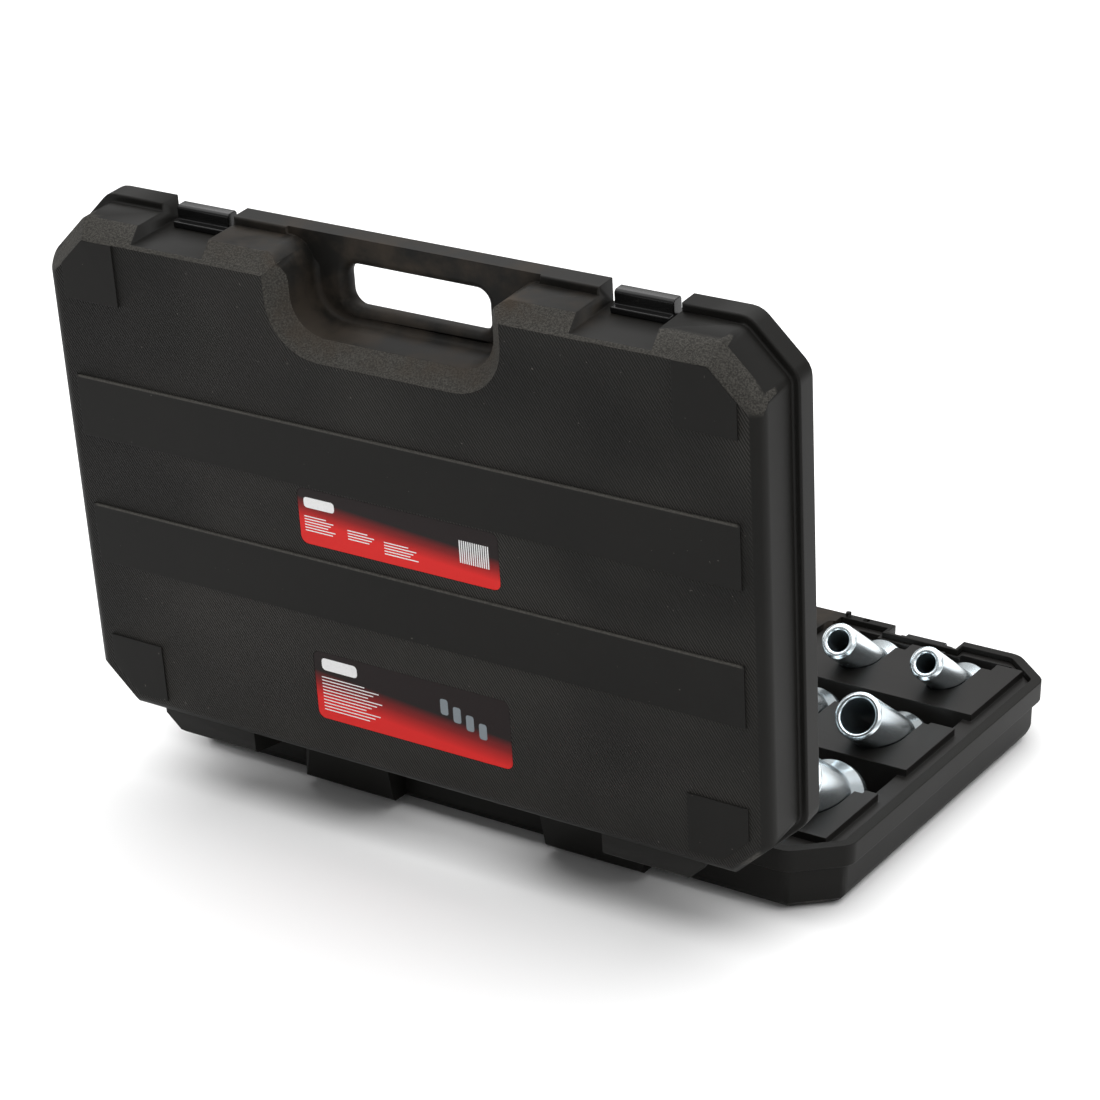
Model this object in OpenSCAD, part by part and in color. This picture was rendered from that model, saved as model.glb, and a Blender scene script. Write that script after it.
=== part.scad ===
// Press sleeve set in a blow-moulded carrying case: an open case whose base holds a tray of
// stepped steel sleeves, lying with their wide ends down in pockets and their tubes tilted up.
// The base stands on z = 0, the handle side faces -Y and the lid turns about a hinge at +Y.

/* [Case] */
// Width of the case over its rim
case_w = 500; // [450:1:620]
// Depth of the case over its rim, from the handle side to the hinge side
case_d = 347; // [335:1:430]
// Height of the base, from the table to the plane where the halves meet
base_h = 43.5; // [43:0.5:60]
// Height of the lid, from the plane where the halves meet to its outer panel
lid_h = 51; // [51:1:70]
// Thickness of the moulded skins
wall = 2.5; // [2:0.1:4]
// Leg of the 45 degree corners in plan
corner = 30; // [20:1:40]
// Radius that rounds both ends of those corners
corner_r = 14; // [8:0.5:18]
// Height of the proud rim on each half
rim_h = 15; // [10:1:18]
// How far the rim stands proud of the body wall
rim_step = 5; // [3:0.5:7]
// Leg of the chamfer between the front wall and the outer panel
front_chamfer = 11; // [6:0.5:14]
// Radius between the side walls and the outer panel
side_round = 9; // [5:0.5:12]
// Height of the raised bands and pads on the outer panel
relief = 1; // [0.5:0.1:1.5]
// Angle that the lid stands open
lid_open = 97.2; // [70:0.1:110]

/* [Outer panel] */
// Width of the raised bands across the panel
band_w = 462; // [380:1:600]
// Height of one raised band along the panel
band_d = 41; // [30:1:46]
// Distance from the hinge axis to the middle of the lower band
band_low = 143; // [138:1:150]
// Distance from the hinge axis to the middle of the upper band
band_high = 232; // [228:1:240]
// Side of the raised corner pads
pad_w = 40; // [30:1:46]
// Gap between the lower edge of the upper band and the upper label
label_high_gap = 1.5; // [1:0.5:4]
// Gap between the lower edge of the lower band and the lower label
label_low_gap = 25; // [16:1:28]
// Width of the two labels
label_w = 142; // [100:1:180]
// Height of the upper label
label_high_d = 38; // [25:1:42]
// Height of the lower label
label_low_d = 48; // [30:1:54]
// Depth of the label recesses, and thickness of the labels
label_t = 0.5; // [0.3:0.1:0.8]

/* [Handle] */
// Half width of the hand recess at its floor
recess_half = 70; // [60:1:80]
// How far the hand recess reaches in from the rim
recess_d = 54; // [48:1:60]
// Thickness of the grip on each half
grip_t = 13; // [10:0.5:16]
// Width of the grip bar, from the rim inwards
grip_w = 18; // [14:1:22]
// Length of the finger opening
slot_w = 98; // [85:1:110]
// Width of the finger opening
slot_d = 27; // [24:1:30]

/* [Hinge and latches] */
// Distance of the hinge axis behind the rim
hinge_back = 13; // [11:0.5:16]
// Radius of the hinge knuckles
knuckle_r = 7; // [6:0.5:8]
// Radius of the hinge pins
pin_r = 2; // [1.5:0.1:2.5]
// Running clearance around the hinge and latch pins
pin_clear = 0.05; // [0.02:0.01:0.1]
// Length of each hinge lug
lug_w = 70; // [50:1:76]
// Distance of the lid's lugs from the corner chamfer of the case
lug_in = 22; // [18:1:26]
// Distance of the latch notches' middle from the side of the case
notch_in = 98.3; // [90:1:104]
// Width of the latch notches
notch_w = 52; // [46:1:58]
// Depth of the latch notches
notch_d = 14; // [13:0.5:16]
// Width of the latch levers
lever_w = 38; // [30:1:42]
// Angle that the latch levers hang open from their closed place
lever_open = 150; // [110:1:155]

/* [Sleeves] */
// Angle of the sleeves above the table
tilt = 34; // [28:1:38]
// Spacing of the sleeves along a row
column_pitch = 64.5; // [62:0.5:70]
// Distance of the first sleeve from the side of the case
column_in = 55; // [50:1:60]
// Length of the sleeves in the front and middle rows
sleeve_l = 86; // [70:1:88]
// Length of the sleeves in the rear row
rear_sleeve_l = 70; // [60:1:74]
// Wall of the tubes in the front row
front_tube_wall = 4.9; // [3:0.1:6]
// Wall of the tubes in the middle and rear rows
tube_wall = 4.2; // [3:0.1:5]
// Tube radius of the smallest sleeve of the front row
front_tube_r = 11.7; // [10:0.1:13]
// Tube radius of the smallest sleeve of the middle row
middle_tube_r = 15.9; // [14:0.1:16.5]
// Tube radius of the smallest sleeve of the rear row
rear_tube_r = 20.2; // [18:0.1:21]
// Length of the wide land at the foot of a sleeve
land_l = 8; // [6:0.5:10]
// How much wider the feet of the front row are than their tubes, in radius
front_foot_step = 7; // [5:0.1:8]
// How much wider the feet of the middle row are than their tubes, in radius
middle_foot_step = 4.2; // [3:0.1:5]
// How much wider the feet of the rear row are than their tubes, in radius
rear_foot_step = 5.5; // [4:0.1:6]
// Difference in radius from one sleeve of a row to the next
radius_step = 0.8; // [0.4:0.1:0.9]
// Clearance between the loose pieces and their pockets
fit_gap = 0.6; // [0.4:0.1:1]

/* [Rings and bush] */
// Outer radius of the smallest thrust ring
ring_r = 24; // [20:0.5:26]
// Thickness of the thrust rings
ring_t = 9; // [7:0.5:10]
// Spacing of the thrust rings in their rack
ring_pitch = 24; // [20:0.5:28]
// Radius of the receiving bush's tube
bush_r = 24; // [20:0.5:25]
// Length of the receiving bush
bush_l = 74; // [60:1:80]
// Distance of the receiving bush from the side of the case
bush_in = 165; // [150:1:175]
// Distance of the thrust rings from the side of the case
ring_in = 62; // [52:1:70]

/* [Tray] */
// Depth of the tray's deck below the rim
deck_drop = 4; // [3:0.5:6]
// Height of the sleeve platforms above the deck
platform_up = 5; // [3:0.5:6]
// Thickness of the tray and of the lid's liner
skin = 2; // [1.5:0.1:3]
// Gap between the tray or the liner and the shell around it
tray_gap = 0.5; // [0.3:0.1:1]
// Length of the front row's platform
front_platform_d = 84; // [70:1:86]
// Length of the middle row's platform
middle_platform_d = 73; // [60:1:76]
// Length of the rear row's platform
rear_platform_d = 72; // [60:1:76]
// Distance of the platforms from the side of the case
platform_in = 17; // [15:1:20]
// Distance of the front row's feet behind the front of the case
front_row_in = 31; // [29:1:34]
// Distance from the front row to the middle row
middle_pitch = 101; // [100:1:112]
// Distance from the middle row to the rear row
rear_pitch = 111; // [106:1:118]

/* [Hidden] */
$fn = 64;
ROOT2 = sqrt(2);
BITE = 0.4;
BIG = 2000;
hinge_y = case_d / 2 + hinge_back;
front_y = -case_d / 2;
body_back = case_d / 2 - rim_step;
inner_inset = rim_step + wall;
// How far the wall behind the hand recess stands off the recess
recess_back = front_chamfer + wall / 2;

// A distance from the hinge axis, turned into a Y place
function from_hinge(s) = hinge_y - s;
// Points of an arc about c, from angle a to angle b
function arc(c, r, a, b, n) = [for (i = [0 : n]) let (t = a + (b - a) * i / n) c + r * [cos(t), sin(t)]];
// Leg of a 45 degree chamfer after its shape is drawn in by i
function drawn_in(leg, i) = leg - i * (2 - ROOT2);

// Plan outline of the case drawn in by i: its four 45 degree corners have round ends
module plan(i) {
    r = max(corner_r - i, 1);
    // centres of the arcs beside the side wall and beside the front wall
    x1 = case_w / 2 - i - r;
    y2 = case_d / 2 - i - r;
    reach = (case_w + case_d) / 2 - corner - (i + r) * ROOT2;
    polygon([for (q = [0 : 3]) let (sx = q == 1 || q == 2 ? -1 : 1, sy = q < 2 ? 1 : -1,
        side = [sx * x1, sy * (reach - x1)], end = [sx * (reach - y2), sy * y2], a = 90 * q)
        each concat(arc(q % 2 == 0 ? side : end, r, a, a + 45, 3),
            arc(q % 2 == 0 ? end : side, r, a + 45, a + 90, 3))]);
}

// Outline of a half seen from its side, drawn in by i: chamfered at the front, round at the back
module side_profile(h, i) {
    front = -case_d / 2 + rim_step + i;
    back = body_back - i;
    c = drawn_in(front_chamfer, i);
    r = side_round - i;
    polygon(concat([[back, -1], [front, -1], [front, h - i - c], [front + c, h - i]],
        arc([back - r, h - i - r], r, 90, 0, 6)));
}

// Outline of a half seen from its front, drawn in by i: round at both sides
module front_profile(h, i) {
    side = case_w / 2 - rim_step - i;
    r = side_round - i;
    polygon(concat([[-side, -1]], arc([-side + r, h - i - r], r, 180, 90, 6),
        arc([side - r, h - i - r], r, 90, 0, 6), [[side, -1]]));
}

// Wedge that cuts the chamfer of the panel across one 45 degree corner
module corner_cut(h, i, turn, leg) {
    w = case_w / 2 - rim_step - i;
    d = case_d / 2 - rim_step - i;
    reach = (w + d - drawn_in(corner, rim_step + i)) / ROOT2;
    rotate(turn) translate([0, reach, h - i - drawn_in(leg, i)]) rotate([-45, 0, 0])
        translate([-BIG / 2, -BIG / 2, 0]) cube([BIG, BIG, BIG]);
}

// Body of a half above the plane where the halves meet, drawn in by i
module body_block(h, i) {
    difference() {
        intersection() {
            linear_extrude(h - i) plan(rim_step + i);
            rotate([90, 0, 90]) translate([0, 0, -BIG / 2]) linear_extrude(BIG) side_profile(h, i);
            rotate([90, 0, 0]) translate([0, 0, -BIG / 2]) linear_extrude(BIG) front_profile(h, i);
        }
        corner_cut(h, i, 135, front_chamfer);
        corner_cut(h, i, -135, front_chamfer);
        corner_cut(h, i, 45, side_round / 2);
        corner_cut(h, i, -45, side_round / 2);
    }
}

recess_r = recess_half / 3;
recess_low = -case_d / 2 + recess_d;
// The shoulders' arcs cross the front wall by a little, so that they end in an edge
shoulder = front_chamfer + 6;
shoulder_cross = 0.6;
shoulder_y = -case_d / 2 + rim_step + shoulder - shoulder_cross;

// Rounded bottom of the hand recess grown by g, as points from one side to the other
function recess_bottom(g) = let (c = [recess_half - recess_r, recess_low - recess_r])
    concat(arc(c, recess_r + g, 0, 90, 8), arc([-c[0], c[1]], recess_r + g, 90, 180, 8));

// Outline of the hand recess grown by g, open towards the handle side between two round shoulders
module recess_outline(g) {
    front = -case_d / 2 - 2 * rim_step;
    flare = max(shoulder - g, 1);
    x = recess_half + g + flare;
    polygon(concat([[x, front]], arc([x, shoulder_y], flare, 270, 180, 6), recess_bottom(g),
        arc([-x, shoulder_y], flare, 0, -90, 6), [[-x, front]]));
}

// Slice, t thick, of the space that widens by 45 degrees towards the panel
module chamfer_slice(z, g, t) {
    front = -case_d / 2 - 2 * rim_step;
    translate([0, 0, z]) linear_extrude(t)
        polygon(concat([[recess_half + g, front]], recess_bottom(g), [[-recess_half - g, front]]));
}

// Hand recess cut down to the grip, with a chamfer where it meets the panel at height h
module recess_cut(h) {
    under = shoulder / 4;
    translate([0, 0, grip_t]) linear_extrude(h) recess_outline(0);
    hull() {
        chamfer_slice(h - front_chamfer - under, -under, 0.01);
        chamfer_slice(h + rim_step, front_chamfer + rim_step, 0.01);
    }
}

module finger_slot() {
    r = slot_d * 0.3;
    x = slot_w / 2;
    low = -case_d / 2 + grip_w;
    translate([0, 0, -1]) linear_extrude(grip_t + 2) {
        translate([-x + r, low]) square([slot_w - 2 * r, slot_d]);
        translate([-x, low + r]) square([slot_w, slot_d - 2 * r]);
        for (sx = [-1, 1], y = [low + r, low + slot_d - r]) translate([sx * (x - r), y]) circle(r);
    }
}

// Latch notches through the front wall, grown by g
module notches(h, g) {
    for (sx = [-1, 1])
        translate([sx * (case_w / 2 - notch_in) - notch_w / 2 - g, -case_d / 2 - rim_step, -1 - g])
            cube([notch_w + 2 * g, notch_d + rim_step + g, h + rim_step + 2 * g]);
}

// Raised bands across the outer panel: two on the lid, one wide field under the base
module bands(h, wide) {
    for (s = wide ? [(band_low + band_high) / 2] : [band_low, band_high]) {
        d = wide ? band_high - band_low + band_d : band_d;
        translate([-band_w / 2, from_hinge(s) - d / 2, h - BITE]) cube([band_w, d, relief + BITE]);
    }
}

// Raised pads in the four corners of the outer panel, cut off along the case's corners
module corner_pads(h) {
    side = case_w / 2 - rim_step - side_round;
    front = case_d / 2 - rim_step - front_chamfer;
    intersection() {
        union() for (sx = [0, 1], sy = [0, 1]) mirror([sx, 0, 0]) mirror([0, sy, 0])
            translate([side - pad_w - rim_step, front - pad_w, h - BITE]) cube([pad_w, pad_w, relief + BITE]);
        linear_extrude(h + relief) plan(rim_step + front_chamfer);
    }
}

// One hinge lug, from x0 to x0 + lug_w: its arm runs the height of the half, its knuckle holds the
// pin, and its outer lower corner is cut off by the leg cut
module lug(h, x0, bore_r, cut) {
    foot = h - side_round / 2;
    difference() {
        translate([x0, 0, 0]) rotate([90, 0, 90]) difference() {
            union() {
                linear_extrude(lug_w) polygon([[body_back - wall, 0], [hinge_y + knuckle_r, 0],
                    [hinge_y - lug_back + 2, foot - 2], [hinge_y - lug_back, foot],
                    [body_back - wall, foot]]);
                translate([hinge_y, 0, 0]) cylinder(r = knuckle_r, h = lug_w);
            }
            translate([hinge_y, 0, -1]) cylinder(r = bore_r, h = lug_w + 2);
        }
        translate([x0 + lug_w, hinge_y - lug_back - cut, knuckle_r + 1]) rotate(45)
            cube([BIG, BIG, BIG]);
    }
}

// Distance from the hinge axis to the back of a lug where it ends near the panel
lug_back = 6;
lug_cut = 10;
// Inner end of the lugs on one half, measured from the middle of the case
lid_lug_x = case_w / 2 - corner - lug_in - lug_w;
base_lug_x = lid_lug_x - lug_w - 1;

// Outer skin of one half, open at z = 0, with lugs that start at lug_x on both sides
module half_skin(h, lug_x, bore_r, cut) {
    difference() {
        union() {
            linear_extrude(rim_h) plan(0);
            body_block(h, 0);
            corner_pads(h);
            for (sx = [0, 1]) mirror([sx, 0, 0]) lug(h, lug_x, bore_r, cut);
        }
        difference() {
            union() {
                body_block(h, wall);
                translate([0, 0, -1]) linear_extrude(rim_h) plan(inner_inset);
            }
            translate([0, 0, -2]) linear_extrude(h + 4) recess_outline(recess_back);
            notches(h, wall);
        }
        recess_cut(h);
        finger_slot();
        notches(h, 0);
    }
}

module in_base() { translate([0, 0, base_h]) mirror([0, 0, 1]) children(); }
module on_lid() {
    translate([0, hinge_y, base_h]) rotate([-lid_open, 0, 0]) translate([0, -hinge_y, 0]) children();
}

/* ---------------------------------------------------------------- rim pegs */

// Places of the locating pegs and holes along the front rim: the base's peg, then its hole
peg_r = 2;
peg_l = 3;
peg_y = front_y + inner_inset / 2;
peg_in = 35;
peg_pitch = 14;
peg_x = case_w / 2 - notch_in - notch_w / 2 - peg_in;
hole_x = peg_x + peg_pitch;

module rim_pegs(x) {
    for (sx = [-1, 1]) translate([sx * x, peg_y, -peg_l]) cylinder(r = peg_r, h = peg_l + 1);
}

module rim_holes(x) {
    for (sx = [-1, 1]) translate([sx * x, peg_y, -1]) cylinder(r = peg_r + fit_gap, h = peg_l + 2);
}

/* ------------------------------------------------------------ case shells */

base_panel = base_h - relief;

module base_shell() {
    color("#242322") in_base() difference() {
        union() {
            half_skin(base_panel, base_lug_x, pin_r, 0);
            bands(base_panel, true);
            rim_pegs(peg_x);
        }
        rim_holes(hole_x);
    }
}

module lid_shell() {
    color("#262524") on_lid() difference() {
        union() {
            half_skin(lid_h, lid_lug_x, pin_r + pin_clear, lug_cut);
            bands(lid_h, false);
            rim_pegs(hole_x);
        }
        rim_holes(peg_x);
        label_recess(label_high_s, label_high_d);
        label_recess(label_low_s, label_low_d);
    }
}

/* ------------------------------------------------------------------ labels */

label_high_s = band_high - band_d / 2 - label_high_gap - label_high_d / 2;
label_low_s = band_low - band_d / 2 - label_low_gap - label_low_d / 2;
label_r = 5;

module label_outline(d, gap) {
    w = label_w / 2 - gap;
    h = d / 2 - gap;
    square([2 * w - 2 * label_r, 2 * h], center = true);
    square([2 * w, 2 * h - 2 * label_r], center = true);
    for (sx = [-1, 1], sy = [-1, 1]) translate([sx * (w - label_r), sy * (h - label_r)]) circle(label_r);
}

module label_recess(s, d) {
    translate([0, from_hinge(s), lid_h - label_t]) linear_extrude(label_t + 1) label_outline(d, 0);
}

module label(s, d) {
    color("#b9211d") on_lid() translate([0, from_hinge(s), lid_h - label_t])
        linear_extrude(label_t * 0.8) label_outline(d, 0.2);
}

module label_upper() { label(label_high_s, label_high_d); }
module label_lower() { label(label_low_s, label_low_d); }

/* ------------------------------------------------- inner outline and liner */

// Outline inside the shell's walls, drawn in by g, around the hand recess and the latch notches
module inner_plan(g) {
    difference() {
        plan(inner_inset + g);
        recess_outline(recess_back + g);
        for (sx = [-1, 1])
            translate([sx * (case_w / 2 - notch_in) - notch_w / 2 - wall - g, front_y - rim_step])
                square([notch_w + 2 * (wall + g), rim_step + notch_d + wall + g]);
    }
}

liner_ledge = 8;
liner_drop = 3;
liner_depth = lid_h - wall - tray_gap - liner_drop;

module lid_liner() {
    inside = tray_gap + liner_ledge;
    color("#1f1e1e") on_lid() intersection() {
        body_block(lid_h, wall + tray_gap);
        translate([0, 0, liner_drop]) {
            linear_extrude(skin) difference() {
                inner_plan(tray_gap);
                inner_plan(inside);
            }
            difference() {
                linear_extrude(liner_depth) inner_plan(inside - skin);
                intersection() {
                    translate([0, 0, -1]) linear_extrude(liner_depth - skin + 1) inner_plan(inside);
                    translate([0, 0, -liner_drop]) body_block(lid_h, wall + tray_gap + skin);
                }
            }
        }
    }
}

/* ------------------------------------------------------------------- hinge */

module hinge_pin(side) {
    color("#8b8f93") translate([side < 0 ? -lid_lug_x - lug_w : base_lug_x, hinge_y, base_h])
        rotate([0, 90, 0]) cylinder(r = pin_r, h = lid_lug_x + lug_w - base_lug_x);
}

module hinge_pin_left() { hinge_pin(-1); }
module hinge_pin_right() { hinge_pin(1); }

/* ----------------------------------------------------------------- latches */

notch_x = case_w / 2 - notch_in;
notch_floor = front_y + notch_d;
latch_pin_r = 1.5;
// Latch pivot, behind the front of the rim and below the plane where the halves meet
pivot_y = front_y + 5.5;
pivot_z = base_h - 8;
ear_t = 4;
ear_gap = 0.3;
bracket_w = lever_w - 2 * (ear_t + ear_gap);
block_front = front_y + 1.5;
block_up = 5.5;
// Catch bar of the keeper, above the plane where the halves meet
keeper_low = 1.5;
keeper_high = 11;
lever_reach = 32;
lever_plate_t = 3.2;
plate_back = front_y - ear_gap * 2;
hook_t = 3;
// The lid stops a tenth of a degree before it is closed, which holds the keepers this much higher
keeper_rise = (case_d + hinge_back) * sin(0.1);

// Shape extruded across the width w of a latch, about the middle of the notch on one side
module across_latch(side, w) {
    translate([side * notch_x - w / 2, 0, 0]) rotate([90, 0, 90]) linear_extrude(w) children();
}

module latch_bracket(side) {
    color("#151515") across_latch(side, bracket_w) difference() {
        polygon([[notch_floor, pivot_z - block_up], [block_front + 2, pivot_z - block_up],
            [block_front, pivot_z - block_up + 2], [block_front, pivot_z + block_up - 2],
            [block_front + 2, pivot_z + block_up], [notch_floor, pivot_z + block_up]]);
        translate([pivot_y, pivot_z]) circle(latch_pin_r);
    }
}

module latch_pin(side) {
    color("#8b8f93") across_latch(side, lever_w) translate([pivot_y, pivot_z]) circle(latch_pin_r);
}

module latch_keeper(side) {
    color("#151515") on_lid() translate([side * notch_x - lever_w / 2, 0, 0])
        rotate([90, 0, 90]) linear_extrude(lever_w)
            polygon([[notch_floor, 0], [notch_floor - 4, 0], [notch_floor - 4, keeper_low],
                [block_front + 1.5, keeper_low], [block_front, keeper_low + 1.5],
                [block_front, keeper_high - 1.5], [block_front + 1.5, keeper_high],
                [notch_floor - 4, keeper_high], [notch_floor - 4, keeper_high + 5],
                [notch_floor, keeper_high + 5]]);
}

// Lever in its closed place: two ears on the pivot, a plate in front and a hook over the keeper
module closed_lever(side) {
    low = pivot_z + 7;
    high = pivot_z + lever_reach;
    plate_front = plate_back - lever_plate_t;
    hook_low = base_h + keeper_high + keeper_rise + ear_gap;
    across_latch(side, lever_w) polygon([[plate_back, low], [plate_front, low + 1],
        [plate_front, high - 5], [plate_front - 1.5, high - 1], [plate_front, high],
        [plate_back, high]]);
    across_latch(side, bracket_w) polygon([[plate_back - BITE, hook_low], [block_front + 6, hook_low],
        [block_front + 6, hook_low + 1], [block_front + 4, hook_low + hook_t],
        [plate_back - BITE, hook_low + hook_t]]);
    for (end = [-1, 1]) translate([end * (lever_w - ear_t) / 2, 0, 0]) across_latch(side, ear_t)
        difference() {
            union() {
                translate([pivot_y, pivot_z]) circle(4);
                polygon([[pivot_y + 3, pivot_z], [pivot_y + 2, pivot_z + 5], [plate_back, base_h],
                    [plate_front, base_h], [plate_front, pivot_z + 4], [pivot_y - 3, pivot_z - 2.5]]);
            }
            translate([pivot_y, pivot_z]) circle(latch_pin_r + pin_clear);
        }
}

module latch_lever(side) {
    color("#171717") translate([0, pivot_y, pivot_z]) rotate([lever_open, 0, 0])
        translate([0, -pivot_y, -pivot_z]) closed_lever(side);
}

module latch_bracket_left() { latch_bracket(-1); }
module latch_bracket_right() { latch_bracket(1); }
module latch_pin_left() { latch_pin(-1); }
module latch_pin_right() { latch_pin(1); }
module latch_keeper_left() { latch_keeper(-1); }
module latch_keeper_right() { latch_keeper(1); }
module latch_lever_left() { latch_lever(-1); }
module latch_lever_right() { latch_lever(1); }

/* ----------------------------------------------------------------- sleeves */

floor_z = relief + wall + skin;
rest_z = floor_z + fit_gap;
deck_z = base_h - deck_drop;
platform_z = deck_z + platform_up;
flare_l = 9;

rear_shift = 3;

// Each row: distance of its feet from the hinge axis, its number of sleeves, smallest tube radius,
// tube wall, length, how far it stands nearer the side of the case, and the step to its feet
front_s = case_d + hinge_back - front_row_in;
middle_s = front_s - middle_pitch;
rear_s = middle_s - rear_pitch;
FRONT = [front_s, 2, front_tube_r, front_tube_wall, sleeve_l, 0, front_foot_step];
MIDDLE = [middle_s, 4, middle_tube_r, tube_wall, sleeve_l, 0, middle_foot_step];
REAR = [rear_s, 4, rear_tube_r, tube_wall, rear_sleeve_l, rear_shift, rear_foot_step];

function tube_r(row, i) = row[2] + radius_step * i;
function foot_r(row, i) = tube_r(row, i) + row[6];
function column_x(row, i) = -case_w / 2 + column_in - row[5] + column_pitch * i;
// Height of a foot's centre, so that its lowest edge rests just above the tray's floor
function foot_z(row, i) = rest_z + foot_r(row, i) * cos(tilt);

// Puts a child that stands along +Z on the axis of one sleeve, its foot's face at the origin
module at_sleeve(row, i) {
    translate([column_x(row, i), from_hinge(row[0]), foot_z(row, i)]) rotate([tilt - 90, 0, 0]) children();
}

module sleeve(row, i) {
    r = tube_r(row, i);
    foot = foot_r(row, i);
    bore = r - row[3];
    l = row[4];
    edge = row[3] * 0.4;
    color("#b9c6cc") at_sleeve(row, i) rotate_extrude() polygon([[bore, 0], [foot - 1, 0], [foot, 1],
        [foot, land_l], [r, land_l + flare_l], [r, l - edge], [r - edge, l], [bore + 0.8, l],
        [bore, l - 0.8]]);
}

/* --------------------------------------------------------- bush and rings */

bush_x = case_w / 2 - bush_in;
bush_s = rear_s - 15;
bush_flange = 5;
ring_x = case_w / 2 - ring_in;
ring_s = rear_s - 10;
ring_bore = 11;
ring_step = 1.5;
RINGS = [0 : 3];

function ring_radius(i) = ring_r + ring_step * i;

module along_y() { rotate([-90, 0, 0]) children(); }

module at_bush() {
    translate([bush_x, from_hinge(bush_s + bush_l), rest_z + bush_r + bush_flange]) along_y() children();
}

module receiving_bush() {
    foot = bush_r + bush_flange;
    bore = bush_r - tube_wall;
    color("#b9c6cc") at_bush() rotate_extrude() polygon([[bore, 0], [foot - 1, 0], [foot, 1],
        [foot, land_l], [bush_r, land_l + bush_flange], [bush_r, bush_l - 1], [bush_r - 1, bush_l],
        [bore, bush_l]]);
}

module at_ring(i) {
    translate([ring_x, from_hinge(ring_s + ring_pitch * i + ring_t), rest_z + ring_radius(i)])
        along_y() children();
}

module thrust_ring(i) {
    r = ring_radius(i);
    bore = ring_bore + ring_step * i;
    color("#b9c6cc") at_ring(i) rotate_extrude() polygon([[bore, 0], [r - 1, 0], [r, 1], [r, ring_t - 1],
        [r - 1, ring_t], [bore, ring_t]]);
}

/* -------------------------------------------------------------------- tray */

// Pocket, open upwards, for a round piece of radius r from z0 to z1 on its own axis
module pocket(r, z0, z1) {
    translate([0, 0, z0]) linear_extrude(z1 - z0) {
        circle(r);
        translate([-r, -3 * r]) square([2 * r, 3 * r]);
    }
}

module pocket_block(r, z0, z1) {
    translate([-r - skin, -3 * r, z0 - skin]) cube([2 * (r + skin), 4 * r + skin, z1 - z0 + 2 * skin]);
}

module sleeve_pocket(row, i) {
    foot = foot_r(row, i) + fit_gap;
    pocket(foot, -fit_gap, land_l + flare_l + fit_gap);
    pocket(tube_r(row, i) + fit_gap, 0, row[4] * 1.5);
}

// The rows again, each with how far its platform reaches past the feet and how long it is
PLATFORMS = [[FRONT, 5, front_platform_d], [MIDDLE, -3, middle_platform_d], [REAR, -5, rear_platform_d]];
trench_in = 6;

function platform_far(p) = p[0][0] + p[1];
function platform_near(p) = platform_far(p) - p[2];
// Far edge of the trench behind row k: the next platform, or the wall behind the latch notches
function trench_far(k) = k > 0 ? platform_near(PLATFORMS[k - 1]) : hinge_y - notch_floor;

// Box under one row from from_s to to_s, drawn in by inset at both sides and grown by g
module row_box(row, from_s, to_s, inset, g, z0, z1) {
    x0 = -case_w / 2 + platform_in + inset - g;
    x1 = column_x(row, row[1] - 1) + column_pitch / 2 - inset + g;
    translate([x0, from_hinge(to_s) - g, z0]) cube([x1 - x0, to_s - from_s + 2 * g, z1 - z0]);
}

module platform(p, g, z0, z1) { row_box(p[0], platform_near(p), platform_far(p), 0, g, z0, z1); }

module trenches(g, z0, z1) {
    intersection() {
        for (k = [0 : 2])
            row_box(PLATFORMS[k][0], platform_far(PLATFORMS[k]), trench_far(k), trench_in, g, z0, z1);
        translate([0, 0, z0 - 1]) linear_extrude(z1 - z0 + 2) inner_plan(tray_gap + skin - g);
        in_base() body_block(base_panel, wall + tray_gap + skin - g);
    }
}

// Long trench of the thrust rings, grown by g: they stand in the grooves of the low block in it
ring_block_z = 18;
ring_room = 5;

module ring_trench(g, z0, z1) {
    w = ring_radius(3) + fit_gap + 2 + g;
    l = ring_pitch * 3 + ring_t + 2 * (ring_room + g);
    translate([ring_x - w, from_hinge(ring_s) + ring_room + g - l, z0]) cube([2 * w, l, z1 - z0]);
}

module all_pocket_blocks() {
    for (row = [FRONT, MIDDLE, REAR], i = [0 : row[1] - 1]) at_sleeve(row, i) {
        pocket_block(foot_r(row, i) + fit_gap, -fit_gap, land_l + flare_l + fit_gap);
        pocket_block(tube_r(row, i) + fit_gap, 0, row[4]);
    }
    at_bush() pocket_block(bush_r + bush_flange + fit_gap, -fit_gap, bush_l + fit_gap);
}

module all_pockets() {
    for (row = [FRONT, MIDDLE, REAR], i = [0 : row[1] - 1]) at_sleeve(row, i) sleeve_pocket(row, i);
    at_bush() {
        pocket(bush_r + bush_flange + fit_gap, -fit_gap, land_l + bush_flange + fit_gap);
        pocket(bush_r + fit_gap, 0, bush_l + fit_gap);
    }
    for (i = RINGS) at_ring(i) pocket(ring_radius(i) + fit_gap, -fit_gap, ring_t + fit_gap);
}

module base_tray() {
    color("#1d1c1c") difference() {
        union() {
            translate([0, 0, deck_z - skin]) linear_extrude(skin) inner_plan(tray_gap);
            for (p = PLATFORMS) difference() {
                platform(p, 0, deck_z - BITE, platform_z);
                platform(p, -skin, 0, platform_z - skin);
            }
            trenches(skin, floor_z - skin, deck_z - BITE);
            ring_trench(skin, floor_z - skin, deck_z - BITE);
            intersection() {
                all_pocket_blocks();
                in_base() body_block(base_panel, wall + tray_gap);
                union() {
                    linear_extrude(deck_z - BITE) inner_plan(tray_gap);
                    for (p = PLATFORMS) platform(p, -BITE, deck_z - skin, platform_z - BITE);
                }
            }
        }
        trenches(0, floor_z, platform_z);
        ring_trench(0, ring_block_z, platform_z);
        all_pockets();
    }
}

/* --------------------------------------------------------------- the parts */

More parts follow.
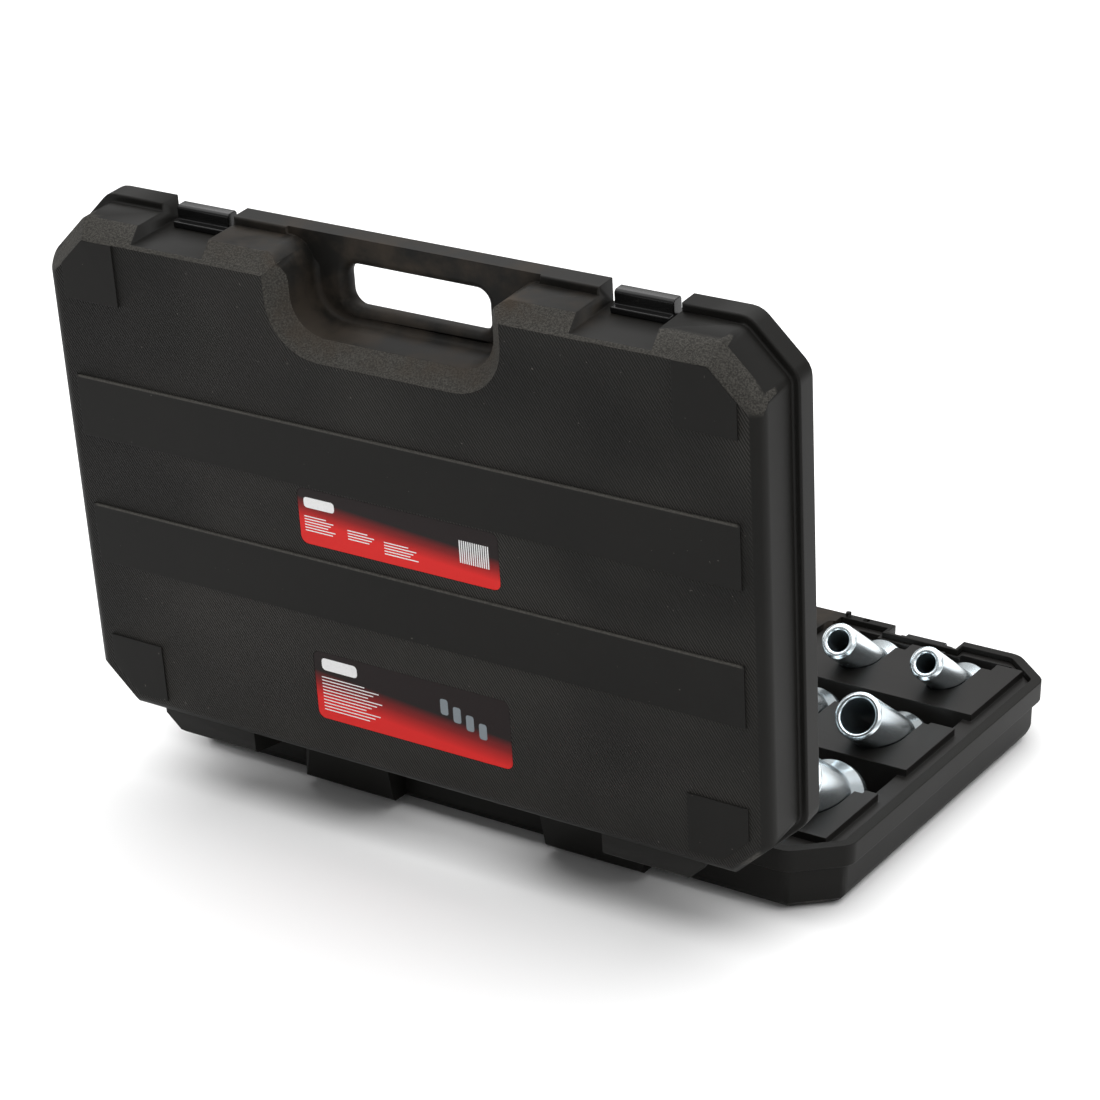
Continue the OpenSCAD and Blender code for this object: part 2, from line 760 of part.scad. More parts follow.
base_shell();
base_tray();
lid_shell();
lid_liner();
label_upper();
label_lower();
hinge_pin_left();
hinge_pin_right();
latch_bracket_left();
latch_bracket_right();
latch_pin_left();
latch_pin_right();
latch_lever_left();
latch_lever_right();
latch_keeper_left();
latch_keeper_right();
sleeve(FRONT, 0);  // sleeve_front_1
sleeve(FRONT, 1);  // sleeve_front_2
sleeve(MIDDLE, 0);  // sleeve_middle_1
sleeve(MIDDLE, 1);  // sleeve_middle_2
sleeve(MIDDLE, 2);  // sleeve_middle_3
sleeve(MIDDLE, 3);  // sleeve_middle_4
sleeve(REAR, 0);  // sleeve_rear_1
sleeve(REAR, 1);  // sleeve_rear_2
sleeve(REAR, 2);  // sleeve_rear_3
sleeve(REAR, 3);  // sleeve_rear_4
receiving_bush();
thrust_ring(0);  // thrust_ring_1
thrust_ring(1);  // thrust_ring_2
thrust_ring(2);  // thrust_ring_3
thrust_ring(3);  // thrust_ring_4
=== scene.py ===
"""Looks of a press sleeve set in its blow-moulded carrying case.

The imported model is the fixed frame. The case's two halves, the tray, the liner and the latches get
rounded copies with moulded plastic finishes, the steel pieces are turned anew with soft edges, and
the labels get a plain generic print. Sizes are in metres unless a name ends in _mm.
"""
import logging
import math
from dataclasses import dataclass, field
from enum import Enum
from typing import Any, Callable, Iterable, Optional, Union

import bmesh
import bpy
from mathutils import Matrix, Vector


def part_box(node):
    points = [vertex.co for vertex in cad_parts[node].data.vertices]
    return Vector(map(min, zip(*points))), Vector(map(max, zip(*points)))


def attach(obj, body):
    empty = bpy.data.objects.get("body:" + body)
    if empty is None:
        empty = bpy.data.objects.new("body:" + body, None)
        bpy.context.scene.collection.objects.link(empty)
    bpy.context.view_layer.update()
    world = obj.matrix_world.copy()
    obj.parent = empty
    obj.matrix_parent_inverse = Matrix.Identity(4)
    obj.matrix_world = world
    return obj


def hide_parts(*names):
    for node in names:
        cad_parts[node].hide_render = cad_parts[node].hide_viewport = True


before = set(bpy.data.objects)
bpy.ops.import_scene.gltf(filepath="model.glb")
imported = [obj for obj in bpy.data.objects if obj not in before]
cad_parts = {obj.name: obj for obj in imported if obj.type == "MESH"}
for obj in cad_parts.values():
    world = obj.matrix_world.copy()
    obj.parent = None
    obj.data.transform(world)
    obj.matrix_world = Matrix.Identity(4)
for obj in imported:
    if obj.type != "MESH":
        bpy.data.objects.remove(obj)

log = logging.getLogger("sleeve_set")
MM = 0.001
Colour = tuple[float, float, float]
Number = Union[float, "Value"]
Block = tuple[float, float, float, float]
Prints = dict[str, tuple[Colour, list[Block]]]


class Side(Enum):
    """Left or right latch and hinge."""

    LEFT = "left"
    RIGHT = "right"


class Slot(Enum):
    """Material slots of the record."""

    CASE = "case_black"
    TRAY = "tray_black"
    LATCH = "latch_black"
    STEEL = "zinc_steel"
    PRINT = "label_print"


# ------------------------------------------------------------------ halves


@dataclass(frozen=True)
class Half:
    """One half of the case as a frame of its own.

    Attributes:
        hinge: A point on the hinge axis.
        along: Direction from the hinge towards the carrying grip.
        out: Direction from the plane where the halves meet towards the outer panel.
        panel_mm: Height of the outer panel above that plane.
    """

    hinge: Vector
    along: Vector
    out: Vector
    panel_mm: float

    def place(self, x: float, s: float, t: float) -> Vector:
        """Point at x, s along the half and t out of it, all in millimetres."""
        return self.hinge + Vector((x, 0, 0)) * MM + self.along * (s * MM) + self.out * (t * MM)

    def local(self, point: Vector) -> Vector:
        """Distances of a point across, along and out of the half, in millimetres."""
        d = point - self.hinge
        return Vector((d.x, d.dot(self.along), d.dot(self.out))) / MM


def opened(degrees: float) -> tuple[Vector, Vector]:
    """Directions along and out of a half that stands open by an angle.

    Args:
        degrees: The angle from the closed place.

    Returns:
        The direction along the half and the direction out of it.
    """
    a = math.radians(degrees)
    return Vector((0, -math.cos(a), math.sin(a))), Vector((0, math.sin(a), math.cos(a)))


HINGE_Y_MM = 186.5
HINGE = Vector((0, HINGE_Y_MM * MM, 43.5 * MM))
LID = Half(HINGE, *opened(97.2), 51.0)
BASE = Half(HINGE, Vector((0, -1, 0)), Vector((0, 0, -1)), 42.5)


# ----------------------------------------------------------- shader values


class Value:
    """A shader socket that takes part in sums, products and comparisons."""

    def __init__(self, shader: "Shader", socket: bpy.types.NodeSocket) -> None:
        """Keeps the socket and the shader that it belongs to."""
        self.shader = shader
        self.socket = socket

    def _math(self, operation: str, *values: Number, clamp: bool = False) -> "Value":
        """Result of a Math node on the given values."""
        settings = {"operation": operation, "use_clamp": clamp}
        return self.shader.node("ShaderNodeMath", settings, dict(enumerate(values)))

    def __add__(self, other: Number) -> "Value":
        """Sum."""
        return self._math("ADD", self, other)

    def __sub__(self, other: Number) -> "Value":
        """Difference."""
        return self._math("SUBTRACT", self, other)

    def __rsub__(self, other: Number) -> "Value":
        """Difference from a number."""
        return self._math("SUBTRACT", other, self)

    def __mul__(self, other: Number) -> "Value":
        """Product."""
        return self._math("MULTIPLY", self, other)

    def __truediv__(self, other: Number) -> "Value":
        """Quotient."""
        return self._math("DIVIDE", self, other)

    def __pow__(self, other: Number) -> "Value":
        """Power."""
        return self._math("POWER", self, other)

    __radd__ = __add__
    __rmul__ = __mul__

    def least(self, other: Number) -> "Value":
        """Smaller of two values."""
        return self._math("MINIMUM", self, other)

    def size(self) -> "Value":
        """Absolute value."""
        return self._math("ABSOLUTE", self)

    def wave(self) -> "Value":
        """Sine."""
        return self._math("SINE", self)

    def step(self, low: float, high: float) -> "Value":
        """Smooth rise from 0 at low to 1 at high."""
        settings = {"interpolation_type": "SMOOTHSTEP"}
        return self.shader.node("ShaderNodeMapRange", settings,
                                {0: self, 1: low, 2: high, 3: 0.0, 4: 1.0})

    def band(self, low: float, high: float, soft: float) -> "Value":
        """1 between low and high, with soft ends."""
        return self.step(low - soft, low + soft) * (1 - self.step(high - soft, high + soft))


class Shader:
    """A material under construction."""

    def __init__(self, name: str) -> None:
        """Starts an empty node tree."""
        self.material = bpy.data.materials.new(name)
        self.material.use_nodes = True
        self.tree = self.material.node_tree
        self.tree.nodes.clear()

    def node(self, kind: str, settings: Optional[dict[str, Any]] = None,
             inputs: Optional[dict[Union[str, int], Any]] = None,
             output: Union[str, int] = 0) -> Value:
        """Adds any node.

        Args:
            kind: The node's type name.
            settings: Values of its properties; "stops" fills a colour ramp.
            inputs: Numbers, colours, vectors or Values for its sockets.
            output: Name or place of the output that is returned.

        Returns:
            The chosen output.
        """
        node = self.tree.nodes.new(kind)
        for name, value in (settings or {}).items():
            if name == "stops":
                self._fill_ramp(node.color_ramp, value)
            else:
                setattr(node, name, value)
        for key, value in (inputs or {}).items():
            socket = self._socket(node.inputs, key)
            if isinstance(value, Value):
                self.tree.links.new(value.socket, socket)
            else:
                socket.default_value = value
        return Value(self, self._socket(node.outputs, output))

    @staticmethod
    def _fill_ramp(ramp: bpy.types.ColorRamp, stops: list[tuple[float, Colour]]) -> None:
        """Puts stops of place and colour on a ramp that starts with two."""
        while len(ramp.elements) < len(stops):
            ramp.elements.new(0.5)
        for element, (place, colour) in zip(ramp.elements, stops):
            element.position = place
            element.color = (*colour, 1)

    @staticmethod
    def _socket(sockets: Any, key: Union[str, int]) -> bpy.types.NodeSocket:
        """Finds a socket by its place, or the enabled one of a name."""
        if isinstance(key, int):
            return sockets[key]
        return next(s for s in sockets if s.name == key and s.enabled)

    def place(self) -> Value:
        """Object coordinates."""
        return self.node("ShaderNodeTexCoord", output="Object")

    def facing(self) -> Value:
        """Direction of the surface in object coordinates."""
        return self.node("ShaderNodeTexCoord", output="Normal")

    def vector(self, operation: str, a: Any, b: Any, output: str = "Vector") -> Value:
        """Result of a Vector Math node."""
        return self.node("ShaderNodeVectorMath", {"operation": operation}, {0: a, 1: b}, output)

    def along(self, vector: Value, direction: Vector) -> Value:
        """Length of a vector along a direction."""
        return self.vector("DOT_PRODUCT", vector, tuple(direction), "Value")

    def mix(self, factor: Number, a: Any, b: Any) -> Value:
        """Mixes two colours."""
        a, b = (c if isinstance(c, Value) else (*c, 1) for c in (a, b))
        return self.node("ShaderNodeMix", {"data_type": "RGBA"},
                         {"Factor": factor, "A": a, "B": b}, "Result")

    def noise(self, per_mm: float, detail: float = 2.0, rough: float = 0.5,
              place: Optional[Value] = None) -> Value:
        """Noise from 0 to 1 with about per_mm features in a millimetre."""
        inputs = {"Vector": place or self.place(), "Scale": per_mm / MM, "Detail": detail,
                  "Roughness": rough}
        return self.node("ShaderNodeTexNoise", {}, inputs, "Fac")

    def bump(self, height: Number, distance_mm: float, strength: float = 1.0,
             normal: Optional[Value] = None) -> Value:
        """Bumps of a height of distance_mm times the given height."""
        inputs: dict[Union[str, int], Any] = {"Height": height, "Strength": strength,
                                              "Distance": distance_mm * MM}
        if normal is not None:
            inputs["Normal"] = normal
        return self.node("ShaderNodeBump", {}, inputs, "Normal")

    def soft_edges(self, radius_mm: float) -> Value:
        """Normal that looks rounded along sharp edges."""
        return self.node("ShaderNodeBevel", {"samples": 6}, {"Radius": radius_mm * MM}, "Normal")

    def finish(self, **sockets: Any) -> bpy.types.Material:
        """Ends the tree in a Principled shader.

        Args:
            sockets: Socket names, with spaces written as underscores, and their values.

        Returns:
            The finished material.
        """
        inputs = {name.replace("_", " "): value for name, value in sockets.items()}
        surface = self.node("ShaderNodeBsdfPrincipled", {}, inputs, "BSDF")
        self.node_output(surface)
        return self.material

    def node_output(self, surface: Value) -> None:
        """Links a surface to the material's output."""
        output = self.tree.nodes.new("ShaderNodeOutputMaterial")
        self.tree.links.new(surface.socket, output.inputs["Surface"])


# ---------------------------------------------------------------- finishes


@dataclass(frozen=True)
class CaseSkin:
    """Textured black moulding of one half's outer skin.

    Attributes:
        name: Name of the material.
        half: The half that it covers.
        black: Colour of the smooth faces.
        wear_and_highlight: Colour of the stippled chamfers, partly their grain and partly a painted
            highlight of the overhead light on these sloped faces; also the painted highlight on the
            bands' upper edges.
        dust: Colour of the dust around the grip.
        glint: Colour of the panel's fine lines where they catch the light.
        hatch_mm: Distance between the fine lines of the panel.
        edge_mm: Radius of the softened edges.
        highlit_ridges_mm: Places along the half of the raised bands' upper edges, which get a
            painted highlight.
    """

    name: str
    half: Half
    black: Colour = (0.0056, 0.0053, 0.0046)
    wear_and_highlight: Colour = (0.056, 0.053, 0.047)
    dust: Colour = (0.040, 0.031, 0.023)
    glint: Colour = (0.060, 0.056, 0.050)
    hatch_mm: float = 2.0
    edge_mm: float = 0.6
    highlit_ridges_mm: tuple[float, ...] = ()

    def material(self) -> bpy.types.Material:
        """Builds the material."""
        sh = Shader(self.name)
        away = sh.vector("SUBTRACT", sh.place(), tuple(self.half.hinge))
        x = sh.along(away, Vector((1000, 0, 0)))
        s = sh.along(away, self.half.along * 1000)
        t = sh.along(away, self.half.out * 1000)
        slope = sh.along(sh.facing(), self.half.out)
        across = x.size()
        flat = slope.step(0.93, 0.99)
        panel = flat * t.band(self.half.panel_mm - 0.6, self.half.panel_mm + 0.45, 0.1)
        raised = flat * t.step(self.half.panel_mm + 0.5, self.half.panel_mm + 0.9)
        inside = (1 - across.step(234, 238)) + s.step(318, 322)
        chamfer = slope.band(0.42, 0.92, 0.05) * s.step(26, 30) * inside.least(1.0)
        chamfer = chamfer * t.step(24, 30)
        corner = chamfer * across.step(214, 224)

        hatch = ((x * 0.94 - s * 0.62) * (2 * math.pi / self.hatch_mm)).wave()
        hatch = hatch * (0.5 + 0.9 * sh.noise(0.05, 3))
        fine = sh.noise(1.1, 3, 0.6)
        grain = sh.noise(0.95, 2, 0.55).step(0.32, 0.70)
        coarse = sh.noise(0.4, 2, 0.5).step(0.4, 0.62)
        broad = sh.noise(0.012, 3, 0.6)
        specks = sh.noise(0.55, 0).step(0.86, 0.90)

        recess = (1 - across.step(82, 104)) * s.step(290, 304) * (1 - t.step(46, 52))
        shoulders = (1 - across.step(120, 150)) * s.step(340, 349) * t.band(14, 46, 4)
        dusty = recess * 0.55 + shoulders * 0.5
        dusty = dusty * sh.noise(0.03, 4, 0.65).step(0.38, 0.70)

        tone = sh.mix(broad.step(0.3, 0.75), self.black, tuple(c * 1.35 for c in self.black))
        lit = panel * hatch.step(-0.4, 1.3) * sh.noise(0.006, 2).step(0.3, 0.7)
        tone = sh.mix(lit * 0.75, tone, self.glint)
        # Painted highlight mixed with wear: the chamfers get a lighter stippled colour, partly their
        # grain and partly the light that falls on these sloped faces.
        tone = sh.mix(chamfer * (0.35 + 0.65 * grain), tone, self.wear_and_highlight)
        # Painted highlight: a light strip along each raised band's upper edge, where the overhead
        # light would catch it, broken up by the grain.
        for ridge in self.highlit_ridges_mm:
            edge = s.band(ridge - 1.5, ridge + 0.6, 0.35) * t.step(50.9, 51.4)
            edge = edge * (1 - across.step(228, 231)) * (0.5 + 0.5 * grain)
            tone = sh.mix(edge, tone, self.wear_and_highlight)
        tone = sh.mix(dusty, tone, self.dust)
        tone = sh.mix(specks * 0.5 * (panel + raised), tone, (0.13, 0.12, 0.11))

        rough = 0.46 + 0.1 * broad + 0.12 * chamfer + 0.2 * dusty + 0.04 * panel
        normal = sh.soft_edges(self.edge_mm)
        normal = sh.bump(fine, 0.03, 0.5, normal)
        normal = sh.bump(hatch * panel, 0.2, 0.9, normal)
        normal = sh.bump(grain * chamfer + coarse * corner, 0.22, 0.9, normal)
        return sh.finish(Base_Color=tone, Roughness=rough, Normal=normal, Specular_IOR_Level=0.13)


@dataclass(frozen=True)
class SatinPlastic:
    """Smooth black moulded plastic.

    Attributes:
        name: Name of the material.
        black: Its colour.
        rough: Its roughness.
        specular: Its specular level.
        edge_mm: Radius of the softened edges.
        ripple_mm: Height of the slow ripples that a moulded sheet has.
    """

    name: str
    black: Colour = (0.0085, 0.0080, 0.0074)
    rough: float = 0.36
    specular: float = 0.22
    edge_mm: float = 0.8
    ripple_mm: float = 0.25

    def material(self) -> bpy.types.Material:
        """Builds the material."""
        sh = Shader(self.name)
        broad = sh.noise(0.014, 3, 0.55)
        fine = sh.noise(1.4, 3, 0.6)
        dust = sh.noise(0.22, 4, 0.7).step(0.6, 0.82)
        tone = sh.mix(broad.step(0.3, 0.7), self.black, tuple(c * 1.3 for c in self.black))
        tone = sh.mix(dust * 0.22, tone, (0.05, 0.046, 0.04))
        rough = self.rough + 0.08 * broad + 0.1 * dust
        normal = sh.soft_edges(self.edge_mm)
        normal = sh.bump(broad, self.ripple_mm, 0.5, normal)
        normal = sh.bump(fine, 0.015, 0.5, normal)
        return sh.finish(Base_Color=tone, Roughness=rough, Normal=normal,
                         Specular_IOR_Level=self.specular)


@dataclass(frozen=True)
class TurnedSteel:
    """Turned steel, bare or zinc plated.

    Attributes:
        name: Name of the material.
        axis: Direction of the piece's own axis.
        start: A point on that axis.
        bright: Colour of the plating.
        deep: Colour in its duller patches.
        rough: Its roughness.
    """

    name: str
    axis: Vector
    start: Vector
    bright: Colour = (0.86, 0.93, 0.96)
    deep: Colour = (0.80, 0.89, 0.94)
    rough: float = 0.2

    def material(self) -> bpy.types.Material:
        """Builds the material."""
        sh = Shader(self.name)
        away = sh.vector("SUBTRACT", sh.place(), tuple(self.start))
        height = sh.along(away, self.axis)
        foot = sh.node("ShaderNodeVectorMath", {"operation": "SCALE"},
                       {0: tuple(self.axis), "Scale": height}, "Vector")
        radius = sh.vector("LENGTH", sh.vector("SUBTRACT", away, foot), (0, 0, 0), "Value")
        cut = sh.node("ShaderNodeCombineXYZ", {}, {0: height, 1: radius, 2: 0.0}, "Vector")
        grooves = sh.noise(2.2, 2, 0.6, cut)
        patches = sh.noise(0.045, 4, 0.62)
        spots = sh.noise(0.35, 3, 0.7).step(0.62, 0.8)
        tone = sh.mix(patches.step(0.34, 0.70), self.bright, self.deep)
        tone = sh.mix(spots * 0.05, tone, tuple(c * 0.7 for c in self.deep))
        rough = self.rough + 0.05 * patches + 0.02 * spots
        normal = sh.bump(grooves, 0.0004, 0.3)
        return sh.finish(Base_Color=tone, Metallic=1.0, Roughness=rough, Normal=normal)


@dataclass(frozen=True)
class LabelFilm:
    """Printed film that fades from black to red.

    Attributes:
        name: Name of the material.
        middle_mm: Distance of the label's middle from the hinge axis.
        reach_mm: Half the height over which the fade runs.
        lean: How much the fade leans across the label.
        red: Colour of its red end.
        black: Colour of its dark end.
    """

    name: str
    middle_mm: float
    reach_mm: float
    lean: float
    red: Colour = (0.60, 0.018, 0.016)
    black: Colour = (0.012, 0.008, 0.008)

    def material(self) -> bpy.types.Material:
        """Builds the material."""
        sh = Shader(self.name)
        away = sh.vector("SUBTRACT", sh.place(), tuple(LID.hinge))
        x = sh.along(away, Vector((1000, 0, 0)))
        s = sh.along(away, LID.along * 1000)
        fade = (s - self.middle_mm) * (1 / self.reach_mm) + x * self.lean
        stops = [(0.0, self.red), (0.30, self.red), (0.52, (0.20, 0.010, 0.010)),
                 (0.70, self.black), (1.0, self.black)]
        tone = sh.node("ShaderNodeValToRGB", {"stops": stops},
                       {0: fade * 0.5 + 0.5}, "Color")
        scuff = sh.noise(0.2, 4, 0.7)
        tone = sh.mix(scuff.step(0.62, 0.9) * 0.25, tone, (0.12, 0.07, 0.07))
        normal = sh.bump(sh.noise(0.05, 3), 0.12, 0.5)
        return sh.finish(Base_Color=tone, Roughness=0.34 + 0.12 * scuff, Normal=normal,
                         Specular_IOR_Level=0.12)


@dataclass(frozen=True)
class Ink:
    """Opaque ink on a label.

    Attributes:
        name: Name of the material.
        colour: Its colour.
    """

    name: str
    colour: Colour

    def material(self) -> bpy.types.Material:
        """Builds the material."""
        sh = Shader(self.name)
        wear = sh.noise(0.9, 3, 0.6)
        tone = sh.mix(wear.step(0.5, 0.9) * 0.5, self.colour, tuple(c * 0.6 for c in self.colour))
        return sh.finish(Base_Color=tone, Roughness=0.34 + 0.1 * wear,
                         Normal=sh.bump(wear, 0.01, 0.4))


# ------------------------------------------------------------- mesh helpers


def finished(name: str, bm: bmesh.types.BMesh, material: bpy.types.Material, body: str,
             smooth_deg: float = 32) -> bpy.types.Object:
    """Turns a bmesh into a piece that rides on a body.

    Args:
        name: Name of the piece.
        bm: Its mesh, which is freed.
        material: Its material.
        body: The body that carries it.
        smooth_deg: Edges sharper than this stay sharp.

    Returns:
        The new object.
    """
    mesh = bpy.data.meshes.new(name)
    bm.to_mesh(mesh)
    bm.free()
    mesh.shade_smooth()
    mesh.set_sharp_from_angle(angle=math.radians(smooth_deg))
    mesh.materials.append(material)
    piece = bpy.data.objects.new(name, mesh)
    bpy.context.scene.collection.objects.link(piece)
    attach(piece, body)
    log.info("%s: %d faces on %s", name, len(mesh.polygons), body)
    return piece


def dress(node: str, material: bpy.types.Material) -> None:
    """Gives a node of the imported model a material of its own."""
    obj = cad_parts[node]
    obj.data.materials.clear()
    obj.data.materials.append(material)
    log.info("%s: dressed as %s", node, material.name)


# --------------------------------------------------------------- mouldings


@dataclass(frozen=True)
class Rounding:
    """One pass of edge rounding.

    Attributes:
        radius_mm: How far the rounding reaches from the edge.
        segments: Its number of segments.
        wanted: Test on the two ends of an edge, in the half's own millimetres.
        shortest_mm: Edges shorter than this, or with shorter neighbours, are left alone.
        sharp_deg: Least angle between an edge's two faces.
        clamp: True to keep roundings from running into each other.
    """

    radius_mm: float
    segments: int
    wanted: Callable[[Vector, Vector], bool]
    shortest_mm: float = 2.0
    sharp_deg: float = 28.0
    clamp: bool = True


def anywhere(a: Vector, b: Vector) -> bool:
    """Accepts every edge."""
    return True


def within(low: tuple[float, float, float],
           high: tuple[float, float, float]) -> Callable[[Vector, Vector], bool]:
    """Test for edges inside a box of the half that is the same on its left and right.

    Args:
        low: Least distance across, along and out of the half.
        high: Greatest distances.

    Returns:
        The test.
    """
    def wanted(a: Vector, b: Vector) -> bool:
        """True if both ends are in the box."""
        return all(lo <= value <= hi for point in (a, b)
                   for lo, value, hi in zip(low, (abs(point.x), point.y, point.z), high))
    return wanted


@dataclass
class Moulding:
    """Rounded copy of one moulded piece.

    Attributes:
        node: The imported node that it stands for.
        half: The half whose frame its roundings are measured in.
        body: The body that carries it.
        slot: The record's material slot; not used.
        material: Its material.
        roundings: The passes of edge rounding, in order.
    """

    node: str
    half: Half
    body: str
    slot: Slot
    material: bpy.types.Material
    roundings: list[Rounding] = field(default_factory=list)

    def build(self) -> bpy.types.Object:
        """Copies the node's mesh, merges it, rounds its edges and hides the node."""
        bm = bmesh.new()
        bm.from_mesh(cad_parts[self.node].data)
        bmesh.ops.remove_doubles(bm, verts=bm.verts, dist=0.01 * MM)
        bmesh.ops.dissolve_limit(bm, angle_limit=math.radians(1.5), verts=bm.verts, edges=bm.edges)
        for rounding in self.roundings:
            self.round_edges(bm, rounding)
        piece = finished(self.node + "_moulded", bm, self.material, self.body)
        weighted = piece.modifiers.new("even_shading", "WEIGHTED_NORMAL")
        weighted.keep_sharp = True
        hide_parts(self.node)
        return piece

    def round_edges(self, bm: bmesh.types.BMesh, rounding: Rounding) -> None:
        """Rounds the edges that a pass asks for.

        Args:
            bm: The merged mesh.
            rounding: What to round, and how much.
        """
        shortest = rounding.shortest_mm * MM
        chosen = [edge for edge in bm.edges if self.suits(edge, rounding, shortest)]
        log.info("%s: %d edges rounded by %.1f mm", self.node, len(chosen), rounding.radius_mm)
        if chosen:
            bmesh.ops.bevel(bm, geom=chosen, offset=rounding.radius_mm * MM, offset_type="OFFSET",
                            segments=rounding.segments, profile=0.5, affect="EDGES",
                            clamp_overlap=rounding.clamp, loop_slide=True, material=-1)

    def suits(self, edge: bmesh.types.BMEdge, rounding: Rounding, shortest: float) -> bool:
        """True if an edge is sharp, long and free enough, and wanted by the pass."""
        if len(edge.link_faces) != 2 or edge.calc_length() < shortest:
            return False
        if edge.calc_face_angle(0.0) < math.radians(rounding.sharp_deg):
            return False
        if any(e.calc_length() < shortest for v in edge.verts for e in v.link_edges):
            return False
        return rounding.wanted(*(self.half.local(v.co) for v in edge.verts))


# ------------------------------------------------------------- turned steel


@dataclass
class TurnedPiece:
    """A round steel piece, turned about its own axis.

    Attributes:
        name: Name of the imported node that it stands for.
        start: Middle of its foot's face.
        axis: Direction of its axis, from the foot.
        profile: Corners of its section as radius and height, in millimetres.
        soft_mm: Radius of its softened edges.
        steps: Number of steps round.
    """

    name: str
    start: Vector
    axis: Vector
    profile: list[tuple[float, float]]
    soft_mm: float = 0.35
    steps: int = 96

    def build(self, rough: float) -> bpy.types.Object:
        """Spins the section, softens its edges and puts it in place.

        Args:
            rough: Roughness of its plating.

        Returns:
            The new object, which rides on its own body.
        """
        bm = bmesh.new()
        corners = [bm.verts.new((r * MM, 0, z * MM)) for r, z in self.profile]
        lines = [bm.edges.new((a, b)) for a, b in zip(corners, corners[1:] + corners[:1])]
        bmesh.ops.spin(bm, geom=corners + lines, cent=(0, 0, 0), axis=(0, 0, 1), dvec=(0, 0, 0),
                       angle=math.tau, steps=self.steps, use_merge=True)
        bmesh.ops.remove_doubles(bm, verts=bm.verts, dist=0.001 * MM)
        bmesh.ops.recalc_face_normals(bm, faces=bm.faces)
        rims = [e for e in bm.edges if e.calc_face_angle(0.0) > math.radians(15)]
        bmesh.ops.bevel(bm, geom=rims, offset=self.soft_mm * MM, offset_type="OFFSET", segments=3,
                        profile=0.5, affect="EDGES", clamp_overlap=True, material=-1)
        turn = Vector((0, 0, 1)).rotation_difference(self.axis).to_matrix().to_4x4()
        bmesh.ops.transform(bm, matrix=Matrix.Translation(self.start) @ turn, verts=bm.verts)
        finish = TurnedSteel("zinc_" + self.name, self.axis, self.start, rough=rough)
        piece = finished(self.name + "_turned", bm, finish.material(), self.name + "_body",
                         50)
        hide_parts(self.name)
        return piece


@dataclass
class SleeveRow:
    """One row of stepped sleeves.

    Attributes:
        name: Name of the row.
        s_mm: Distance of the feet from the hinge axis.
        count: Number of sleeves.
        first_x_mm: Place of the first sleeve across the case.
        tube_mm: Tube radius of the smallest.
        wall_mm: Wall of the tubes.
        length_mm: Length of the sleeves.
        step_mm: How much wider the feet are.
        pitch_mm: Distance between neighbours.
        growth_mm: How much the tube radius grows from one to the next.
        foot_mm: Height of the foot.
        neck_mm: Height where the tube starts.
        tilt_deg: Angle above the table.
        rest_mm: Height of the feet's lowest edge.
    """

    name: str
    s_mm: float
    count: int
    first_x_mm: float
    tube_mm: float
    wall_mm: float
    length_mm: float
    step_mm: float
    pitch_mm: float = 64.5
    growth_mm: float = 0.8
    foot_mm: float = 8.0
    neck_mm: float = 17.0
    tilt_deg: float = 34.0
    rest_mm: float = 6.1

    def build(self) -> None:
        """Turns every sleeve of the row."""
        tilt = math.radians(self.tilt_deg)
        axis = Vector((0, math.cos(tilt), math.sin(tilt)))
        for i in range(self.count):
            r = self.tube_mm + self.growth_mm * i
            foot = r + self.step_mm
            bore = r - self.wall_mm
            edge = 0.4 * self.wall_mm
            end = self.length_mm
            start = Vector((self.first_x_mm + self.pitch_mm * i, HINGE_Y_MM - self.s_mm,
                            self.rest_mm + foot * math.cos(tilt))) * MM
            profile = [(bore, 0), (foot - 1, 0), (foot, 1), (foot, self.foot_mm),
                       (r, self.neck_mm), (r, end - edge),
                       (r - edge, end), (bore + 0.8, end), (bore, end - 0.8)]
            piece = TurnedPiece(f"sleeve_{self.name}_{i + 1}", start, axis, profile)
            piece.build(0.22 + 0.02 * (i % 3))


@dataclass
class BushAndRings:
    """The receiving bush and the four thrust rings in their rack.

    Attributes:
        bush_x_mm: Place of the bush across the case.
        bush_end_mm: Place of its far end along the case.
        bush_length_mm: Its length.
        ring_x_mm: Place of the rings across the case.
        ring_start_mm: Distance of the first ring from the hinge axis.
        ring_pitch_mm: Distance between the rings.
        ring_mm: Thickness of a ring.
        rest_mm: Height of their lowest points.
    """

    bush_x_mm: float = 85.0
    bush_end_mm: float = 84.5
    bush_length_mm: float = 74.0
    ring_x_mm: float = 188.0
    ring_start_mm: float = 107.0
    ring_pitch_mm: float = 24.0
    ring_mm: float = 9.0
    rest_mm: float = 6.1

    def build(self) -> None:
        """Turns the bush and the rings."""
        along = Vector((0, 1, 0))
        start = Vector((self.bush_x_mm, self.bush_end_mm - self.bush_length_mm,
                        self.rest_mm + 29)) * MM
        profile = [(19.8, 0), (28, 0), (29, 1), (29, 8), (24, 13), (24, 73), (23, 74), (19.8, 74)]
        TurnedPiece("receiving_bush", start, along, profile).build(0.2)
        for i in range(4):
            r, bore = 24 + 1.5 * i, 11 + 1.5 * i
            y = HINGE_Y_MM - (self.ring_start_mm + self.ring_pitch_mm * i + self.ring_mm)
            start = Vector((self.ring_x_mm, y, self.rest_mm + r)) * MM
            profile = [(bore, 0), (r - 1, 0), (r, 1), (r, self.ring_mm - 1),
                       (r - 1, self.ring_mm), (bore, self.ring_mm)]
            TurnedPiece(f"thrust_ring_{i + 1}", start, along, profile).build(0.22)


# ------------------------------------------------------------------ labels


